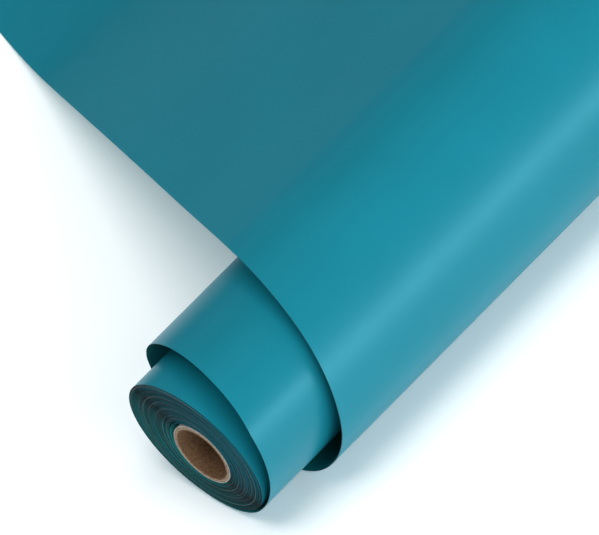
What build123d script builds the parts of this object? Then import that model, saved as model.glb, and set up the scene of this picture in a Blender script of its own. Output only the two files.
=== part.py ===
"""A part-used roll of sign vinyl: a web of face film on its release liner, wound on a paper core.

Frame: origin at the middle of the core's bore, +X along the core's axis away from the near end,
+Z up. The web's lead comes off the top of the roll towards +Y and runs down to the floor.

Cross-sections are laid out as (across, up), where across is -Y: it points to the right for
someone looking along +X. The web is followed outwards from the wound roll. It goes up the right
side, over the top, down the left side and under the roll, then up the right side and over the
top once more, and leaves down the left.
"""

import math
import os

from build123d import *

# Web
web_width = 305.0
face_film = 0.13
release_liner = 0.17

# Core: nested plies of a wound paper tube
bore_radius = 12.7
inner_ply_radius = 13.2
board_radius = 14.6
core_radius = 15.0

# Wound roll: its slack has settled it into an oval, wider than it is high and tipped to the right
roll_tilt = 33.5
roll_center = (-3.7, -0.8)
roll_half_width = 35.5
roll_half_height = 29.5

# First turns: they lie close to the core on its right and stand off it on the left
stand_off_center = (-0.5, 0.0)
stand_off_half_width = 15.8
stand_off_half_height = 15.35
hole_center = (-0.9, 0.0)
hole_half_width = 16.8
hole_half_height = 16.0

# Loose wraps: arcs, each a radius, the heading at its end in degrees and the step back along X for
# each unit of its length. The outer wrap lies flat on the floor where it passes under the roll.
lap_angle = -4.5
lap_clearance = 0.9
lap_step_back = 2.0
wrap_skew = 0.14
inner_wrap_arcs = (
    (45.5, 119.0, 0.02),
    (34.2, 162.0, 0.135),
    (40.2, 220.0, 0.165),
    (44.5, 270.0, 0.175),
    (35.7, 335.0, 0.175),
)
outer_wrap_arcs = (
    (38.0, 360.0, 0.14),
    (25.5, 405.0, 0.14),
    (39.1, 455.0, 0.14),
    (62.8, 505.0, 0.14),
    (42.2, 564.5, 0.14),
)
flat_on_floor = 20.0

# Lead: a straight run down, which a gentle curve brings level on the floor
lead_skew = 0.35
lead_end_heading = 540.0
floor_curve_radius = 120.0
lead_on_floor = 20.0

# Slits between stretches of the web that move apart, and the widest step between two folds
slit = 0.5
fold_turn = 7.0


def tilted(point, center):
    """A cross-section point, from the roll's tilted axes to (across, up)."""
    along = point[0] + center[0]
    over = point[1] + center[1]
    cosine = math.cos(math.radians(roll_tilt))
    sine = math.sin(math.radians(roll_tilt))
    return (along * cosine + over * sine, over * cosine - along * sine)


def step_on(station, length, turn, skew):
    """The next station of the web: (across, up, heading in degrees, step back along X)."""
    across, up, heading, back = station
    if turn:
        radius = length / math.radians(turn)
        start = math.radians(heading)
        end = math.radians(heading + turn)
        across += radius * (math.sin(end) - math.sin(start))
        up += radius * (math.cos(start) - math.cos(end))
    else:
        across += length * math.cos(math.radians(heading))
        up += length * math.sin(math.radians(heading))
    return (across, up, heading + turn, back + skew * length)


def follow_arc(stations, radius, end_heading, skew, end_skew=None):
    """Adds an arc to the web in equal folds; the skew may change evenly along it."""
    turn = end_heading - stations[-1][2]
    folds = math.ceil(abs(turn) / fold_turn)
    length = radius * math.radians(abs(turn)) / folds
    last_skew = skew if end_skew is None else end_skew
    for fold in range(folds):
        share = (fold + 0.5) / folds
        fold_skew = skew + (last_skew - skew) * share
        stations.append(step_on(stations[-1], length, turn / folds, fold_skew))


def follow_line(stations, length, skew):
    """Adds a straight run to the web."""
    stations.append(step_on(stations[-1], length, 0.0, skew))


def lap_station():
    """Where the inner wrap leaves the wound roll, on its right."""
    angle = math.radians(lap_angle)
    half_width = roll_half_width + lap_clearance
    half_height = roll_half_height + lap_clearance
    point = (half_width * math.cos(angle), half_height * math.sin(angle))
    across, up = tilted(point, roll_center)
    slope = math.atan2(half_height * math.cos(angle), -half_width * math.sin(angle))
    return (across, up, math.degrees(slope) - roll_tilt, lap_step_back)


def slab(stations, inside, outside):
    """The solid between two offsets from the web's bond line, positive towards the face side."""
    sections = []
    for across, up, heading, back in stations:
        side = (math.sin(math.radians(heading)), -math.cos(math.radians(heading)))
        near = back - web_width / 2
        corners = []
        for offset, x in ((inside, near), (outside, near), (outside, near + web_width),
                          (inside, near + web_width)):
            corners.append(Vector(x, -(across + offset * side[0]), up + offset * side[1]))
        sections.append(Wire.make_polygon(corners))
    return Solid.make_loft(sections, ruled=True)


def stretch(name, stations):
    """The face film and the release liner along one stretch of the web."""
    film = slab(stations, 0.0, face_film)
    liner = slab(stations, -release_liner, 0.0)
    film.label = name + "_film"
    liner.label = name + "_liner"
    return [film, liner]


def oval_prism(center, half_width, half_height):
    """An oval prism as long as the web is wide, on the roll's tilted axes."""
    across, up = tilted((0.0, 0.0), center)
    section = Plane(origin=(-web_width / 2, -across, up), x_dir=(0, -1, 0), z_dir=(-1, 0, 0))
    oval = section * Rot(0, 0, -roll_tilt) * Ellipse(half_width, half_height)
    return extrude(oval, amount=web_width, dir=(1, 0, 0))


def tube(name, inner, outer):
    """One ply of the core."""
    plane = Plane(origin=(-web_width / 2, 0, 0), z_dir=(1, 0, 0))
    ring = plane * (Circle(outer) - Circle(inner))
    ply = extrude(ring, amount=web_width)
    ply.label = name
    return ply


def wound_roll():
    """The wound stack, and the first turn that stands off the core inside it."""
    hole = oval_prism(hole_center, hole_half_width, hole_half_height)
    web = oval_prism(roll_center, roll_half_width, roll_half_height) - hole
    web.label = "wound_web"
    layer = face_film + release_liner
    outer = oval_prism(stand_off_center, stand_off_half_width + layer, stand_off_half_height + layer)
    turn = outer - oval_prism(stand_off_center, stand_off_half_width, stand_off_half_height)
    turn.label = "start_turn"
    return [web, turn]


def floor_height(outer):
    """The height of the floor, which the outer wrap's face touches under the roll."""
    return min(up for across, up, heading, back in outer) - face_film


def lead_run(top, floor):
    """The straight run that leaves the floor curve just enough height to come down."""
    slope = math.radians(top[2] - lead_end_heading)
    curve_drop = floor_curve_radius * (1 - math.cos(slope))
    drop = top[1] - (floor + release_liner) - curve_drop
    return drop / math.sin(slope)


def loose_web():
    """The loose wraps and the lead, each begun a slit after the last."""
    inner = [lap_station()]
    for arc in inner_wrap_arcs:
        follow_arc(inner, *arc)

    outer = [step_on(inner[-1], slit, 0.0, wrap_skew)]
    follow_arc(outer, *outer_wrap_arcs[0])
    follow_line(outer, flat_on_floor, wrap_skew)
    for arc in outer_wrap_arcs[1:-1]:
        follow_arc(outer, *arc)
    follow_arc(outer, *outer_wrap_arcs[-1], lead_skew)

    lead = [step_on(outer[-1], slit, 0.0, lead_skew)]
    follow_line(lead, lead_run(lead[0], floor_height(outer)), lead_skew)
    follow_arc(lead, floor_curve_radius, lead_end_heading, lead_skew)
    follow_line(lead, lead_on_floor, lead_skew)
    return inner, outer, lead


def make_nodes():
    """Every piece of the roll, each labelled with its node's name."""
    inner, outer, lead = loose_web()
    nodes = [
        tube("core_inner_ply", bore_radius, inner_ply_radius),
        tube("core_board", inner_ply_radius, board_radius),
        tube("core_outer_ply", board_radius, core_radius),
    ]
    nodes += wound_roll()
    nodes += stretch("inner_wrap", inner)
    nodes += stretch("outer_wrap", outer)
    nodes += stretch("lead", lead)
    return nodes


def print_joint_places():
    """The lines that the moving stretches turn about, and the floor's height."""
    inner, outer, lead = loose_web()
    roll = tilted((0.0, 0.0), roll_center)
    print("roll centre y %.3f z %.3f" % (-roll[0], roll[1]))
    print("lead hinge y %.3f z %.3f" % (-outer[-1][0], outer[-1][1]))
    print("floor z %.3f, under the lead %.3f" % (floor_height(outer), lead[-1][1] - release_liner))
    for station in outer:
        if abs(station[2] - 360) < 0.01:
            print("flat under the roll y %.3f, x from %.3f" % (-station[0], station[3] - web_width / 2))
    print("lead's flat end y %.3f to %.3f, x from %.3f"
          % (-lead[-2][0], -lead[-1][0], lead[-2][3] - web_width / 2))


if __name__ == "__main__":
    os.makedirs("parts", exist_ok=True)
    for node in make_nodes():
        export_step(node, "parts/" + node.label + ".step")
    print_joint_places()
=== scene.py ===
"""A part-used roll of sign vinyl, dressed round its CAD frame.

Everything is in metres and in the frame of the CAD: origin in the middle of the core's bore, +X
along the core's axis away from the near end, +Z up, and the lead leaves towards +Y. Cross-sections
are laid out as (across, up), where across is -Y. The web is followed outwards from the roll.
"""

import math

import bpy
import numpy as np
from mathutils import Matrix, Vector


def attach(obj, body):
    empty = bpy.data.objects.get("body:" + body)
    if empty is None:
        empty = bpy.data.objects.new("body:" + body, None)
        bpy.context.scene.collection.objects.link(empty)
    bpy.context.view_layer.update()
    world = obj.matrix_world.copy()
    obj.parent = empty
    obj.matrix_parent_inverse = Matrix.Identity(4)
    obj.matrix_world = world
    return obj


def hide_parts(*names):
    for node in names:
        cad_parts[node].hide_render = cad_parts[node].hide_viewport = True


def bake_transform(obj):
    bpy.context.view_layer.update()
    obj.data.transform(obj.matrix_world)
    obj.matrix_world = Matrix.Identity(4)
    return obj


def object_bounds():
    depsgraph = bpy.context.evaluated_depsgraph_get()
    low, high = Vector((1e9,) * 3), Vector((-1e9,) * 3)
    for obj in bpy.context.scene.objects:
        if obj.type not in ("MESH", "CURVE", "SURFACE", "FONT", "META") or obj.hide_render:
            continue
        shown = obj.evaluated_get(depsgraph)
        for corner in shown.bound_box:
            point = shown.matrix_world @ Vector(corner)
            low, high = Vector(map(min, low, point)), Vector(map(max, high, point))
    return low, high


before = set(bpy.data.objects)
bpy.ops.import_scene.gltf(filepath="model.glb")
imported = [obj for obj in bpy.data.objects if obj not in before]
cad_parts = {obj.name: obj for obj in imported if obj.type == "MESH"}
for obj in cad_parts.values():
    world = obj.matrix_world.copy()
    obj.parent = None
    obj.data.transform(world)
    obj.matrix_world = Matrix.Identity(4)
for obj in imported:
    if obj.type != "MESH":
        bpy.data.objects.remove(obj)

cad_low, cad_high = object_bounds()
random = np.random.default_rng(7)

MM = 0.001

# Web, as in the CAD
web_width = 305 * MM
face_film = 0.13 * MM
release_liner = 0.17 * MM

# Core, as in the CAD
bore_radius = 12.7 * MM
inner_ply_radius = 13.2 * MM
board_radius = 14.6 * MM
core_radius = 15.0 * MM

# Wound roll, on its tilted axes, as in the CAD
roll_tilt = math.radians(33.5)
roll_center = (-3.7 * MM, -0.8 * MM)
roll_half_size = (35.5 * MM, 29.5 * MM)
stand_off_center = (-0.5 * MM, 0.0)
stand_off_half_size = (15.8 * MM, 15.35 * MM)
hole_center = (-0.9 * MM, 0.0)
hole_half_size = (16.8 * MM, 16.0 * MM)

# Loose wraps and lead, as in the CAD: arcs are (radius in millimetres, heading at the end in
# degrees, step back along X for each unit of length)
lap_angle = math.radians(-4.5)
lap_clearance = 0.9 * MM
lap_step_back = 2.0 * MM
wrap_skew = 0.14
lead_skew = 0.35
inner_wrap_arcs = (
    (45.5, 119.0, 0.02),
    (34.2, 162.0, 0.135),
    (40.2, 220.0, 0.165),
    (44.5, 270.0, 0.175),
    (35.7, 335.0, 0.175),
)
outer_wrap_arcs = (
    (38.0, 360.0, 0.14),
    (25.5, 405.0, 0.14),
    (39.1, 455.0, 0.14),
    (62.8, 505.0, 0.14),
    (42.2, 564.5, 0.14),
)
flat_on_floor = 20 * MM
floor_curve_radius = 120.0
lead_on_floor = 20 * MM
lead_end_heading = 540.0

# How finely the web is divided: along it, arcs by their turn in degrees and straight runs by count,
# and across it, by count of points
fold_turn = 1.5
flat_parts = 4
lead_parts = 40
lap_parts = 30
inner_columns = 6
outer_columns = 24
straight_columns = 2

# Slight waves of the lead, which begin past the top of the roll
wave_height = 0.25 * MM
wave_length = 150 * MM
wave_slant = 9.0
wave_onset = 40 * MM

# Spiral of the wound roll, and where its last turn ends below the lap
wound_turns = 40
spiral_steps = 180
lap_start_angle = math.radians(-64)

# Slack of the wound turns: each has an even share, one wide gap near the left and a slight ripple
even_slack = 0.25
gap_middle = math.pi
gap_middle_spread = 0.45
gap_spreads = (0.5, 1.1)
gap_draw = (0.2, 1.0)
gap_weight = 5.0
ripple_draw = (0.1, 0.5)
ripple_weight = 0.3
ripples_per_turn = 3
phase_draw = (0, 6.28)

# End face of the wound roll, in millimetres back along X: how far turns stand out of line, and the
# step back that grows to the outermost turn, more on the right than on the left
jitter_spread = 0.12
jitter_limits = (-0.2, 0.4)
turns_between_jitters = 0.4
step_back = 0.7
step_back_swing = 1.2

# Where shading breaks into a crease
web_crease = math.radians(40)
core_crease = math.radians(50)


# Cross-section


def tilted(along, over, center):
    """Cross-section places (across, up) of points on the roll's tilted axes."""
    along = along + center[0]
    over = over + center[1]
    cosine = math.cos(roll_tilt)
    sine = math.sin(roll_tilt)
    return along * cosine + over * sine, over * cosine - along * sine


def ease(share):
    """A share from 0 to 1 that starts and stops gently."""
    return share * share * (3 - 2 * share)


class Path:
    """The web's bond line in cross-section, with its heading, its step back along X and its run."""

    def __init__(self, across, up, heading, back, run=0.0):
        self.stations = [(across, up, heading, back, run)]

    def step(self, length, turn, skew):
        across, up, heading, back, run = self.stations[-1]
        end = heading + turn
        if turn:
            radius = length / turn
            across += radius * (math.sin(end) - math.sin(heading))
            up += radius * (math.cos(heading) - math.cos(end))
        else:
            across += length * math.cos(heading)
            up += length * math.sin(heading)
        self.stations.append((across, up, end, back + skew * length, run + length))

    def arc(self, radius, end_degrees, skew, end_skew=None):
        """Adds an arc in equal folds; the skew may change evenly along it."""
        radius = radius * MM
        turn = math.radians(end_degrees) - self.stations[-1][2]
        folds = math.ceil(abs(math.degrees(turn)) / fold_turn)
        last_skew = skew if end_skew is None else end_skew
        for number in range(folds):
            share = (number + 0.5) / folds
            length = radius * abs(turn) / folds
            self.step(length, turn / folds, skew + (last_skew - skew) * share)

    def line(self, length, skew, parts):
        for number in range(parts):
            self.step(length / parts, 0.0, skew)

    def onward(self):
        """A new path that begins where this one ends."""
        return Path(*self.stations[-1])

    def table(self):
        return np.array(self.stations)


def lap_path():
    """Where the inner wrap leaves the roll."""
    half_width = roll_half_size[0] + lap_clearance
    half_height = roll_half_size[1] + lap_clearance
    along = half_width * math.cos(lap_angle)
    over = half_height * math.sin(lap_angle)
    across, up = tilted(along, over, roll_center)
    slope = math.atan2(half_height * math.cos(lap_angle), -half_width * math.sin(lap_angle))
    return Path(across, up, slope - roll_tilt, lap_step_back)


def inner_wrap_path():
    path = lap_path()
    for arc in inner_wrap_arcs:
        path.arc(*arc)
    return path


def outer_web_path(inner):
    """The outer wrap and the lead down to the floor, and the station where the lead begins."""
    path = inner.onward()
    path.arc(*outer_wrap_arcs[0])
    path.line(flat_on_floor, wrap_skew, flat_parts)
    floor = path.stations[-1][1] - face_film
    for arc in outer_wrap_arcs[1:-1]:
        path.arc(*arc)
    path.arc(*outer_wrap_arcs[-1], lead_skew)
    hinge = path.stations[-1]
    slope = hinge[2] - math.radians(lead_end_heading)
    drop = hinge[1] - floor - release_liner - floor_curve_radius * MM * (1 - math.cos(slope))
    path.line(drop / math.sin(slope), lead_skew, lead_parts)
    path.arc(floor_curve_radius, lead_end_heading, lead_skew)
    path.line(lead_on_floor, lead_skew, flat_parts)
    return path, hinge


# Meshes


def add_object(name, mesh):
    made = bpy.data.objects.new(name, mesh)
    bpy.context.scene.collection.objects.link(made)
    return made


def rows(table, offset, columns, wave):
    """A grid of points on one side of the web: one row a station, one column a place across it."""
    across, up, heading, back = table[:, 0], table[:, 1], table[:, 2], table[:, 3]
    share = np.linspace(0, 1, columns)[None, :]
    x = (back - web_width / 2)[:, None] + web_width * share
    lift = np.full_like(x, offset)
    if wave is not None:
        lift = lift + wave(table[:, 4][:, None], x)
    side_across = np.sin(heading)[:, None]
    side_up = -np.cos(heading)[:, None]
    y = -(across[:, None] + lift * side_across)
    z = up[:, None] + lift * side_up
    return np.stack([x, y, z], axis=-1)


def band_faces(count, columns):
    """The faces of a closed band: those of its two sides, then those of its cut edges."""
    place = np.arange(count * columns).reshape(count, columns)
    below = place + count * columns

    def quads(a, b, c, d):
        return np.stack([a.ravel(), b.ravel(), c.ravel(), d.ravel()], axis=-1)

    top = quads(place[:-1, :-1], place[1:, :-1], place[1:, 1:], place[:-1, 1:])
    base = quads(below[:-1, :-1], below[:-1, 1:], below[1:, 1:], below[1:, :-1])
    near = quads(place[:-1, 0], below[:-1, 0], below[1:, 0], place[1:, 0])
    far = quads(place[:-1, -1], place[1:, -1], below[1:, -1], below[:-1, -1])
    first = quads(place[0, :-1], place[0, 1:], below[0, 1:], below[0, :-1])
    last = quads(place[-1, :-1], below[-1, :-1], below[-1, 1:], place[-1, 1:])
    return np.concatenate([top, base]), np.concatenate([near, far, first, last])


def add_web_place(mesh, outer, run):
    """Stores each point's place on the flat web: run along it, X, and 0 outside or 1 inside."""
    count, columns = outer.shape[:2]
    along = np.repeat(run, columns)
    web_place = np.stack([along, outer.reshape(-1, 3)[:, 0], np.zeros_like(along)], axis=-1)
    web_place = np.concatenate([web_place, web_place])
    web_place[count * columns:, 2] = 1.0
    attribute = mesh.attributes.new("web_place", "FLOAT_VECTOR", "POINT")
    attribute.data.foreach_set("vector", web_place.astype(np.float32).ravel())


def closed_band(name, outer, inner, run, surface, edge):
    """A thin closed solid between two grids of points, with its cut edges in their own material."""
    points = np.concatenate([outer.reshape(-1, 3), inner.reshape(-1, 3)])
    sides, edges = band_faces(*outer.shape[:2])
    faces = np.concatenate([sides, edges])
    mesh = bpy.data.meshes.new(name)
    mesh.from_pydata(points.tolist(), [], faces.tolist())
    mesh.materials.append(surface)
    mesh.materials.append(edge)
    slots = np.zeros(len(faces), dtype=np.int32)
    slots[len(sides):] = 1
    mesh.polygons.foreach_set("material_index", slots)
    mesh.polygons.foreach_set("use_smooth", np.ones(len(faces), dtype=bool))
    add_web_place(mesh, outer, run)
    mesh.set_sharp_from_angle(angle=web_crease)
    mesh.update()
    return add_object(name, mesh)


def web_pieces(name, table, columns, wave=None):
    """The face film and the release liner of one stretch of the web."""
    face = rows(table, face_film, columns, wave)
    bond = rows(table, 0.0, columns, wave)
    back = rows(table, -release_liner, columns, wave)
    run = table[:, 4]
    film = closed_band(name + "_film", face, bond, run, vinyl, film_edge)
    liner = closed_band(name + "_liner", bond, back, run, liner_back, liner_edge)
    return film, liner


# Materials


def shader_of(material):
    return material.node_tree.nodes["Principled BSDF"]


def new_material(name, color, roughness, specular=0.5):
    made = bpy.data.materials.new(name)
    made.use_nodes = True
    shader = shader_of(made)
    shader.inputs["Base Color"].default_value = (*color, 1.0)
    shader.inputs["Roughness"].default_value = roughness
    shader.inputs["Specular IOR Level"].default_value = specular
    return made


def place_on_web(tree):
    """The place on the flat web: run along it, and X."""
    place = tree.nodes.new("ShaderNodeAttribute")
    place.attribute_name = "web_place"
    return place.outputs["Vector"]


def only_run(tree, place):
    """The same place with its run alone, so that a tone keeps even across the web."""
    mapping = tree.nodes.new("ShaderNodeMapping")
    mapping.inputs["Scale"].default_value = (1.0, 0.0, 0.0)
    tree.links.new(place, mapping.inputs["Vector"])
    return mapping.outputs["Vector"]


def noise(tree, vector, scale, detail):
    texture = tree.nodes.new("ShaderNodeTexNoise")
    texture.inputs["Scale"].default_value = scale
    texture.inputs["Detail"].default_value = detail
    tree.links.new(vector, texture.inputs["Vector"])
    return texture.outputs["Fac"]


def color_along(material, value, first, last, start, end):
    """Turns a value into the material's colour: one colour up to start, the other from end on."""
    tree = material.node_tree
    made = tree.nodes.new("ShaderNodeValToRGB")
    low, high = made.color_ramp.elements
    low.position = start
    low.color = (*first, 1.0)
    high.position = end
    high.color = (*last, 1.0)
    tree.links.new(value, made.inputs["Fac"])
    tree.links.new(made.outputs["Color"], shader_of(material).inputs["Base Color"])


def add_bump(material, height, distance):
    tree = material.node_tree
    bump = tree.nodes.new("ShaderNodeBump")
    bump.inputs["Strength"].default_value = 1.0
    bump.inputs["Distance"].default_value = distance
    tree.links.new(height, bump.inputs["Height"])
    tree.links.new(bump.outputs["Normal"], shader_of(material).inputs["Normal"])


def shade(color, factor):
    return tuple(channel * factor for channel in color)


def web_side(name, color, roughness, specular, contrast, mottle_scale, grain_scale, grain_depth):
    """One side of the web: an even colour with a faint mottle, and a fine grain."""
    made = new_material(name, color, roughness, specular)
    place = place_on_web(made.node_tree)
    mottle = noise(made.node_tree, place, mottle_scale, detail=3.0)
    dark = shade(color, 1 - contrast)
    light = shade(color, 1 + contrast)
    color_along(made, mottle, dark, light, start=0.3, end=0.7)
    grain = noise(made.node_tree, place, grain_scale, detail=2.0)
    add_bump(made, grain, grain_depth)
    return made


def edge_material(name, dark, light, tone_scale):
    """A cut edge, whose tone changes along the run of the web; its lighter stretches are partly the
    edge's own colour and partly painted highlight where proud turns catch light.
    """
    made = new_material(name, dark, roughness=0.7, specular=0.05)
    run = only_run(made.node_tree, place_on_web(made.node_tree))
    tone = noise(made.node_tree, run, tone_scale, detail=3.0)
    color_along(made, tone, dark, light, start=0.55, end=0.61)
    return made


def paper_material(name, dark, light, relief):
    """Paper with a fibrous mottle."""
    made = new_material(name, dark, roughness=0.85, specular=0.1)
    place = made.node_tree.nodes.new("ShaderNodeTexCoord").outputs["Object"]
    fibres = noise(made.node_tree, place, scale=900.0, detail=6.0)
    color_along(made, fibres, dark, light, start=0.35, end=0.65)
    add_bump(made, fibres, relief)
    return made


vinyl = web_side("vinyl_face", (0.006, 0.192, 0.262), roughness=0.36, specular=0.17, contrast=0.03,
                 mottle_scale=25.0, grain_scale=1800.0, grain_depth=0.02 * MM)
shader_of(vinyl).inputs["Metallic"].default_value = 0.12
# The liner's back is a lighter teal than the face: partly its own colour, partly painted light that
# lifts the shaded insides of the wraps.
liner_back = web_side("release_liner", (0.002, 0.230, 0.240), roughness=0.5, specular=0.5,
                      contrast=0.07, mottle_scale=60.0, grain_scale=1500.0, grain_depth=0.01 * MM)
# The lighter tones of both cut edges are partly painted highlights of turns that stand proud on the
# end face.
film_edge = edge_material("film_edge", (0.006, 0.026, 0.032), (0.012, 0.07, 0.08), tone_scale=12.0)
liner_edge = edge_material("liner_edge", (0.014, 0.022, 0.025), (0.12, 0.165, 0.175), tone_scale=5.0)
# The kraft ply is darker than plain kraft paper: partly its own brown, partly painted shade for the
# deep bore, the only place it shows.
kraft = paper_material("kraft_paper", (0.11, 0.062, 0.032), (0.17, 0.10, 0.055), relief=0.03 * MM)
board = paper_material("core_board", (0.19, 0.135, 0.095), (0.34, 0.26, 0.19), relief=0.08 * MM)
white = paper_material("white_paper", (0.34, 0.31, 0.28), (0.54, 0.51, 0.48), relief=0.08 * MM)


# Loose web


def lead_wave(run, x):
    """The lead's waves, none of them near the wraps."""
    reach = ease(np.clip((run - lead_start) / wave_onset, 0, 1))
    along = np.sin(run * 2 * math.pi / wave_length + x * wave_slant)
    return wave_height * reach * along


inner_path = inner_wrap_path()
outer_path, hinge = outer_web_path(inner_path)
lead_start = hinge[4]
inner_table = inner_path.table()
outer_table = outer_path.table()
inner_film, inner_liner = web_pieces("inner_wrap_web", inner_table, inner_columns)
outer_film, outer_liner = web_pieces("outer_wrap_web", outer_table, outer_columns, lead_wave)
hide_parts("inner_wrap_film")
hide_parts("inner_wrap_liner")
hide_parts("outer_wrap_film", "lead_film")
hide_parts("outer_wrap_liner", "lead_liner")


# Wound roll


def oval(angles, center, half_size):
    return np.stack(tilted(half_size[0] * np.cos(angles), half_size[1] * np.sin(angles), center))


def turn_slack(angles):
    """How one turn's slack is spread round it."""
    middle = gap_middle + random.normal(0.0, gap_middle_spread)
    spread = random.uniform(*gap_spreads)
    away = np.angle(np.exp(1j * (angles - middle)))
    gap = random.uniform(*gap_draw) ** 3 * gap_weight
    height = random.uniform(*ripple_draw)
    ripple = height * (1 + np.sin(ripples_per_turn * angles + random.uniform(*phase_draw)))
    return even_slack + gap * np.exp(-(away / spread) ** 2) + ripple_weight * ripple


def wound_points():
    """The wound stack as one spiral, with each point's turn number.

    Its first turn stands off the core. The others fill the depth between the hole and the rim.
    """
    angles = np.linspace(0, 2 * math.pi, spiral_steps, endpoint=False)
    stand_off = oval(angles, stand_off_center, stand_off_half_size)
    hole = oval(angles, hole_center, hole_half_size)
    rim = oval(angles, roll_center, (roll_half_size[0] - face_film, roll_half_size[1] - face_film))
    depth = np.linalg.norm(rim - hole, axis=0) - release_liner
    layer = face_film + release_liner
    looseness = np.array([turn_slack(angles) for turn in range(wound_turns)])
    looseness /= looseness.sum(axis=0)
    pitch = layer + np.maximum(depth - wound_turns * layer, 0) * looseness
    below = np.concatenate([np.zeros((1, spiral_steps)), np.cumsum(pitch, axis=0)])
    last_turn = wound_turns + 1 + lap_start_angle / (2 * math.pi)
    count = round(last_turn * spiral_steps) + 1
    points = []
    for index in range(count):
        turn, spot = divmod(index, spiral_steps)
        part = spot / spiral_steps
        through = rim[:, spot] - hole[:, spot]
        if turn == 0:
            inside = stand_off[:, spot]
            outside = hole[:, spot] + through * release_liner / depth[spot]
            points.append(inside + (outside - inside) * part)
        else:
            offset = below[turn - 1, spot] + part * pitch[turn - 1, spot] + release_liner
            share = offset / (below[-1, spot] + release_liner)
            points.append(hole[:, spot] + through * min(share, 1.0))
    return np.array(points), np.arange(count) / spiral_steps


def heading_of(points):
    """The heading at each point of an open polyline."""
    step = np.gradient(points, axis=0)
    return np.unwrap(np.arctan2(step[:, 1], step[:, 0]))


def wound_table():
    points, turn_number = wound_points()
    length = np.linalg.norm(np.diff(points, axis=0), axis=1)
    run = np.concatenate([[0.0], np.cumsum(length)])
    knots = np.arange(0, wound_turns + 3, turns_between_jitters)
    jitter = np.interp(turn_number, knots, random.normal(0.0, jitter_spread, len(knots)))
    slant = step_back + step_back_swing * np.cos(turn_number * 2 * math.pi)
    back = (np.clip(jitter, *jitter_limits) + slant * turn_number / wound_turns) * MM
    return np.stack([points[:, 0], points[:, 1], heading_of(points), back, run], axis=-1)


wound = wound_table()
wound_film, wound_liner = web_pieces("wound_web", wound, straight_columns)
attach(wound_film, "wound_roll")
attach(wound_liner, "wound_roll")
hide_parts("wound_web", "start_turn")


# Lap


def lap_table(inner):
    """The stretch that leads off the wound roll on to the inner wrap, below the lap."""
    share = np.linspace(0.0, 1.0, lap_parts + 1)
    angles = lap_start_angle + (lap_angle - lap_start_angle) * share
    clearance = -face_film + (lap_clearance + face_film) * ease(share)
    along = (roll_half_size[0] + clearance) * np.cos(angles)
    over = (roll_half_size[1] + clearance) * np.sin(angles)
    across, up = tilted(along, over, roll_center)
    heading = heading_of(np.stack([across, up], axis=-1))
    heading[-1] = inner[0, 2]
    step = np.hypot(np.diff(across), np.diff(up))
    run = np.concatenate([[0.0], np.cumsum(step)]) - step.sum()
    back = wound[-1, 3] + (inner[0, 3] - wound[-1, 3]) * ease(share)
    return np.stack([across, up, heading, back, run], axis=-1)


lap = lap_table(inner_table)
lap_film, lap_liner = web_pieces("lap_web", lap, straight_columns)


# Core


core_spokes = 160
rim_bevel = 0.12 * MM


def ply_profile(inner, outer):
    """The cross-section of one ply, as (x, radius), its rims slightly worn."""
    bevel = min(rim_bevel, (outer - inner) / 4)
    half = web_width / 2
    return [
        (-half + bevel, inner),
        (-half, inner + bevel),
        (-half, outer - bevel),
        (-half + bevel, outer),
        (half - bevel, outer),
        (half, outer - bevel),
        (half, inner + bevel),
        (half - bevel, inner),
    ]


def ply(name, inner, outer, material, node):
    """One ply of the core."""
    profile = ply_profile(inner, outer)
    around = len(profile)
    points = []
    faces = []
    for spoke in range(core_spokes):
        angle = 2 * math.pi * spoke / core_spokes
        following = (spoke + 1) % core_spokes
        for side, (x, radius) in enumerate(profile):
            points.append((x, radius * math.cos(angle), radius * math.sin(angle)))
            last = (side + 1) % around
            faces.append((spoke * around + side, following * around + side,
                          following * around + last, spoke * around + last))
    mesh = bpy.data.meshes.new(name)
    mesh.from_pydata(points, [], faces)
    mesh.materials.append(material)
    mesh.polygons.foreach_set("use_smooth", np.ones(len(faces), dtype=bool))
    mesh.set_sharp_from_angle(angle=core_crease)
    piece = add_object(name, mesh)
    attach(piece, "core")
    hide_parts(node)


ply("core_kraft_ply", bore_radius, inner_ply_radius, kraft, "core_inner_ply")
ply("core_board_plies", inner_ply_radius, board_radius, board, "core_board")
ply("core_white_ply", board_radius, core_radius, white, "core_outer_ply")


# Loose stretches: the lap, the inner wrap and the outer wrap have their placement baked into their
# meshes.


for piece in (lap_film, lap_liner):
    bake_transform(piece)
for piece in (inner_film, inner_liner):
    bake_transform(piece)
for piece in (outer_film, outer_liner):
    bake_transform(piece)


# Stage, lights and camera


floor_half = 6.0
card_half = 3.0
card_top = 0.65
card_beyond = 2.0
world_strength = 0.36

camera_tilt = math.radians(65.9)
camera_roll = math.radians(33.5)
camera_distance = 8.07
camera_lens = 1200.0
camera_sensor = 36.0
aim_beside_core = 25.59 * MM
aim_above_core = 81.47 * MM


def staged_face(name, corners, material, seen=True):
    """One flat face of the set; where it isn't seen, the camera looks through it."""
    mesh = bpy.data.meshes.new(name)
    mesh.from_pydata(corners, [], [(0, 1, 2, 3)])
    mesh.materials.append(material)
    face = add_object(name, mesh)
    face.visible_camera = seen


def build_floor():
    corners = [(-floor_half, -floor_half, cad_low.z), (floor_half, -floor_half, cad_low.z),
               (floor_half, floor_half, cad_low.z), (-floor_half, floor_half, cad_low.z)]
    made = new_material("floor", (0.92, 0.92, 0.92), roughness=0.9, specular=0.1)
    shader = shader_of(made)
    shader.inputs["Emission Color"].default_value = (0.10, 0.16, 0.18, 1.0)
    shader.inputs["Emission Strength"].default_value = 1.0
    staged_face("floor", corners, made)


def build_card():
    """A dark card beyond the lead, which the studio's left side is flagged with."""
    corners = [(-card_half, card_beyond, cad_low.z), (card_half, card_beyond, cad_low.z),
               (card_half, card_beyond, card_top), (-card_half, card_beyond, card_top)]
    made = new_material("card", (0.03, 0.03, 0.03), roughness=0.9)
    staged_face("card", corners, made, seen=False)


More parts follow.
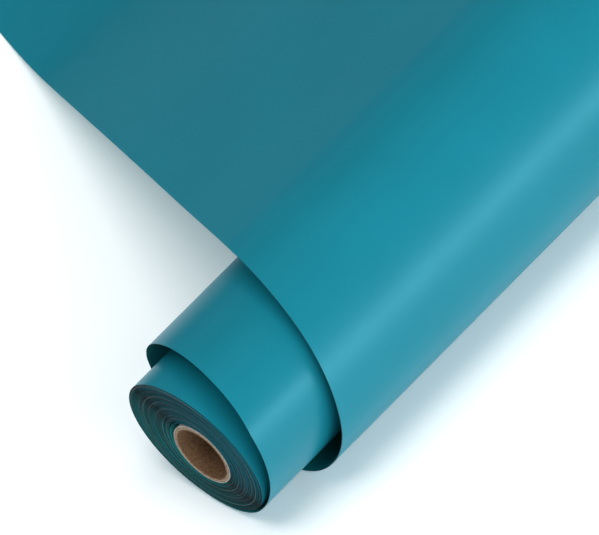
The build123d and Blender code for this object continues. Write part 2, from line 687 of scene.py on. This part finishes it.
def area_light(name, direction, distance, length, height, power, mirrored):
    """A soft light that faces the roll; where it isn't mirrored, glossy faces don't show it."""
    light = bpy.data.lights.new(name, "AREA")
    light.shape = "RECTANGLE"
    light.size = length
    light.size_y = height
    light.energy = power
    lamp = add_object(name, light)
    toward = Vector(direction).normalized()
    lamp.location = toward * distance
    lamp.rotation_mode = "QUATERNION"
    lamp.rotation_quaternion = toward.to_track_quat("Z", "Y")
    lamp.visible_camera = False
    lamp.visible_glossy = mirrored


def build_lights():
    area_light("top", (-0.18, 0.06, 0.98), distance=1.7, length=0.8, height=1.6, power=20.5,
               mirrored=False)
    area_light("side", (-0.15, -0.72, 0.68), distance=1.7, length=1.0, height=0.8, power=7.0,
               mirrored=False)
    area_light("key", (0.1, -0.99, 0.04), distance=1.6, length=3.0, height=0.20, power=21.0,
               mirrored=True)


def build_world():
    world = bpy.data.worlds.new("studio")
    world.use_nodes = True
    background = world.node_tree.nodes["Background"]
    background.inputs["Color"].default_value = (1.0, 1.0, 1.0, 1.0)
    background.inputs["Strength"].default_value = world_strength
    bpy.context.scene.world = world


def build_camera():
    """Near the photograph's view: a long lens, well above the near end."""
    x_axis = Vector((1, 0, 0))
    flat = Vector((0, -math.cos(camera_roll), -math.sin(camera_roll)))
    lifted = Vector((0, -math.sin(camera_roll), math.cos(camera_roll)))
    toward = x_axis * -math.cos(camera_tilt) + lifted * math.sin(camera_tilt)
    away = x_axis * math.sin(camera_tilt) + lifted * math.cos(camera_tilt)
    right = (flat + away).normalized()
    up = (away - flat).normalized()
    near_end = Vector((-web_width / 2, 0, 0))
    place = near_end - flat * aim_beside_core + away * aim_above_core + toward * camera_distance
    data = bpy.data.cameras.new("camera")
    data.sensor_width = camera_sensor
    data.lens = camera_lens
    camera = add_object("camera", data)
    camera.matrix_world = Matrix((
        (right.x, up.x, toward.x, place.x),
        (right.y, up.y, toward.y, place.y),
        (right.z, up.z, toward.z, place.z),
        (0, 0, 0, 1),
    ))
    bpy.context.scene.camera = camera


build_floor()
build_card()
build_world()
build_lights()
build_camera()
bpy.context.scene.view_settings.view_transform = "Standard"
